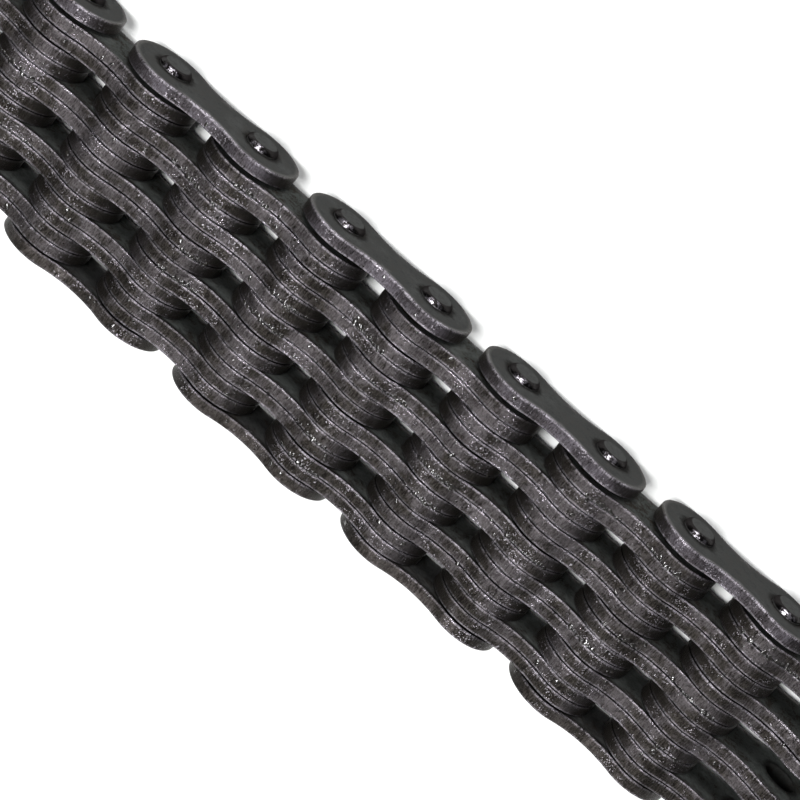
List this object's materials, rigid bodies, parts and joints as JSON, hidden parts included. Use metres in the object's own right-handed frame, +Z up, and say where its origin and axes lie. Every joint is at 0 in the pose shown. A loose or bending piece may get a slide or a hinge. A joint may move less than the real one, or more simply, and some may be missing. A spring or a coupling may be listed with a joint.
{
  "type": "leaf chain",
  "caption": "Straight run of lifting leaf chain: stacked figure-eight plates on long riveted pins, hinged at every pin, with open eyes at both ends for clevis pins.",
  "frame": {"origin": "on the ground below the middle of the middle link, with the chain lying on the edges of its plates", "axes": "+X along the chain, +Y along the pins away from the near side, +Z up across the plates' height"},
  "size_m": [0.2998, 0.056, 0.0205],
  "materials": {
    "outer_plate_steel": "oiled dark steel, flat matte faces and sheared edges",
    "middle_plate_steel": "oiled dark steel, flat matte faces and sheared edges",
    "inner_plate_steel": "oiled dark steel, flat matte faces and sheared edges",
    "pin_steel": "hardened ground steel, riveted ends darkened by oil"
  },
  "bodies": {
    "link_01": {"link_01_inner_plates_1": "inner_plate_steel", "link_01_inner_plates_2": "inner_plate_steel", "link_01_inner_plates_3": "inner_plate_steel", "link_01_inner_plates_4": "inner_plate_steel"},
    "link_02": {"link_02_outer_plate_near": "outer_plate_steel", "link_02_outer_plate_far": "outer_plate_steel", "link_02_middle_plates_1": "middle_plate_steel", "link_02_middle_plates_2": "middle_plate_steel", "link_02_middle_plates_3": "middle_plate_steel", "link_02_pin_left": "pin_steel", "link_02_pin_right": "pin_steel"},
    "link_03": {"link_03_inner_plates_1": "inner_plate_steel", "link_03_inner_plates_2": "inner_plate_steel", "link_03_inner_plates_3": "inner_plate_steel", "link_03_inner_plates_4": "inner_plate_steel"},
    "link_04": {"link_04_outer_plate_near": "outer_plate_steel", "link_04_outer_plate_far": "outer_plate_steel", "link_04_middle_plates_1": "middle_plate_steel", "link_04_middle_plates_2": "middle_plate_steel", "link_04_middle_plates_3": "middle_plate_steel", "link_04_pin_left": "pin_steel", "link_04_pin_right": "pin_steel"},
    "link_05": {"link_05_inner_plates_1": "inner_plate_steel", "link_05_inner_plates_2": "inner_plate_steel", "link_05_inner_plates_3": "inner_plate_steel", "link_05_inner_plates_4": "inner_plate_steel"},
    "link_06": {"link_06_outer_plate_near": "outer_plate_steel", "link_06_outer_plate_far": "outer_plate_steel", "link_06_middle_plates_1": "middle_plate_steel", "link_06_middle_plates_2": "middle_plate_steel", "link_06_middle_plates_3": "middle_plate_steel", "link_06_pin_left": "pin_steel", "link_06_pin_right": "pin_steel"},
    "link_07": {"link_07_inner_plates_1": "inner_plate_steel", "link_07_inner_plates_2": "inner_plate_steel", "link_07_inner_plates_3": "inner_plate_steel", "link_07_inner_plates_4": "inner_plate_steel"},
    "link_08": {"link_08_outer_plate_near": "outer_plate_steel", "link_08_outer_plate_far": "outer_plate_steel", "link_08_middle_plates_1": "middle_plate_steel", "link_08_middle_plates_2": "middle_plate_steel", "link_08_middle_plates_3": "middle_plate_steel", "link_08_pin_left": "pin_steel", "link_08_pin_right": "pin_steel"},
    "link_09": {"link_09_inner_plates_1": "inner_plate_steel", "link_09_inner_plates_2": "inner_plate_steel", "link_09_inner_plates_3": "inner_plate_steel", "link_09_inner_plates_4": "inner_plate_steel"},
    "link_10": {"link_10_outer_plate_near": "outer_plate_steel", "link_10_outer_plate_far": "outer_plate_steel", "link_10_middle_plates_1": "middle_plate_steel", "link_10_middle_plates_2": "middle_plate_steel", "link_10_middle_plates_3": "middle_plate_steel", "link_10_pin_left": "pin_steel", "link_10_pin_right": "pin_steel"},
    "link_11": {"link_11_inner_plates_1": "inner_plate_steel", "link_11_inner_plates_2": "inner_plate_steel", "link_11_inner_plates_3": "inner_plate_steel", "link_11_inner_plates_4": "inner_plate_steel"}
  },
  "joints": [
    {"name": "pin_01_hinge", "type": "hinge", "parent": "link_02", "child": "link_01", "pos_m": [-0.1143, 0, 0.01025], "axis": [0, 1, 0], "range_deg": [-120, 120]},
    {"name": "pin_02_hinge", "type": "hinge", "parent": "link_03", "child": "link_02", "pos_m": [-0.0889, 0, 0.01025], "axis": [0, -1, 0], "range_deg": [-120, 120]},
    {"name": "pin_03_hinge", "type": "hinge", "parent": "link_04", "child": "link_03", "pos_m": [-0.0635, 0, 0.01025], "axis": [0, 1, 0], "range_deg": [-120, 120]},
    {"name": "pin_04_hinge", "type": "hinge", "parent": "link_05", "child": "link_04", "pos_m": [-0.0381, 0, 0.01025], "axis": [0, -1, 0], "range_deg": [-120, 120]},
    {"name": "pin_05_hinge", "type": "hinge", "parent": "link_06", "child": "link_05", "pos_m": [-0.0127, 0, 0.01025], "axis": [0, 1, 0], "range_deg": [-120, 120]},
    {"name": "pin_06_hinge", "type": "hinge", "parent": "link_06", "child": "link_07", "pos_m": [0.0127, 0, 0.01025], "axis": [0, 1, 0], "range_deg": [-120, 120]},
    {"name": "pin_07_hinge", "type": "hinge", "parent": "link_07", "child": "link_08", "pos_m": [0.0381, 0, 0.01025], "axis": [0, -1, 0], "range_deg": [-120, 120]},
    {"name": "pin_08_hinge", "type": "hinge", "parent": "link_08", "child": "link_09", "pos_m": [0.0635, 0, 0.01025], "axis": [0, 1, 0], "range_deg": [-120, 120]},
    {"name": "pin_09_hinge", "type": "hinge", "parent": "link_09", "child": "link_10", "pos_m": [0.0889, 0, 0.01025], "axis": [0, -1, 0], "range_deg": [-120, 120]},
    {"name": "pin_10_hinge", "type": "hinge", "parent": "link_10", "child": "link_11", "pos_m": [0.1143, 0, 0.01025], "axis": [0, 1, 0], "range_deg": [-120, 120]}
  ]
}
